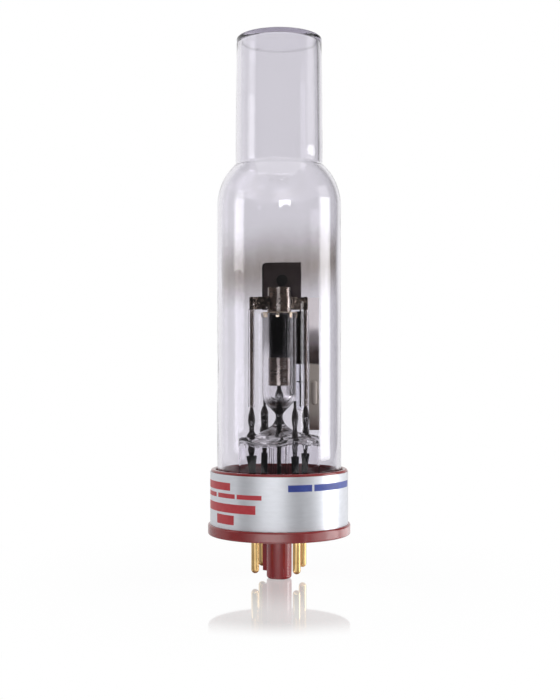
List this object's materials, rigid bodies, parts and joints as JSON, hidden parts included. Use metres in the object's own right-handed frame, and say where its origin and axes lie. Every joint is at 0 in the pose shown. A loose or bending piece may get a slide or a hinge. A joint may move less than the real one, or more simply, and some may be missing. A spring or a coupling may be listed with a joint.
{
  "type": "hollow cathode lamp",
  "caption": "Sealed glass hollow cathode lamp with end window, electrode mount on a glass stem, and a round plug-in base with contact pins and locating key.",
  "frame": {"origin": "centre of the contact pin circle on the underside of the base flange", "axes": "+Z along the lamp towards the window, +Y to the back, the key's rib at 148.5 degrees from +X"},
  "size_m": [0.0424, 0.0424, 0.1608],
  "materials": {
    "red_plastic": "semi-gloss moulded",
    "label_metal": "satin foil",
    "gold_plate": "gold plated, polished",
    "red_cement": "lumpy cement",
    "bulb_glass": "clear with a brown metal film inside",
    "window_glass": "clear, polished",
    "stem_glass": "clear, fire polished",
    "aged_nickel": "nickel browned by heat",
    "bright_nickel": "bright nickel",
    "black_cathode": "glossy black",
    "dark_strap": "dark crinkled sheet",
    "dark_plate": "dark brown-black satin",
    "dark_wire": "dark oxidised wire",
    "dark_bead": "dark glass bead",
    "black_sleeve": "black sleeve",
    "getter_metal": "grey-brown sheet"
  },
  "bodies": {
    "root": {"anode_plate": "dark_plate", "anode_tube": "aged_nickel", "base_shell": "red_plastic", "basing_cement": "red_cement", "black_sleeve_1": "black_sleeve", "black_sleeve_2": "black_sleeve", "black_sleeve_3": "black_sleeve", "black_sleeve_4": "black_sleeve", "cathode_cup": "black_cathode", "cathode_lead": "dark_wire", "cathode_lead_bead": "dark_bead", "cathode_shield_tube": "stem_glass", "cathode_sleeve": "aged_nickel", "contact_pin_1": "gold_plate", "contact_pin_2": "gold_plate", "contact_pin_3": "gold_plate", "contact_pin_4": "gold_plate", "exhaust_tube": "stem_glass", "finger_ring": "bright_nickel", "getter_pellet": "getter_metal", "getter_strip": "getter_metal", "glass_envelope": "bulb_glass", "glass_sleeve_left": "stem_glass", "glass_sleeve_right": "stem_glass", "guard_core": "dark_bead", "guard_tube": "stem_glass", "guard_wire": "dark_wire", "label_band": "label_metal", "lead_wire_1": "dark_wire", "lead_wire_2": "dark_wire", "lead_wire_3": "dark_wire", "lead_wire_4": "dark_wire", "seal_bead_1": "dark_bead", "seal_bead_2": "dark_bead", "seal_bead_3": "dark_bead", "seal_bead_4": "dark_bead", "stem_glass": "stem_glass", "support_rod_left": "aged_nickel", "support_rod_right": "aged_nickel", "support_strap": "dark_strap", "window_disc": "window_glass"}
  },
  "joints": []
}
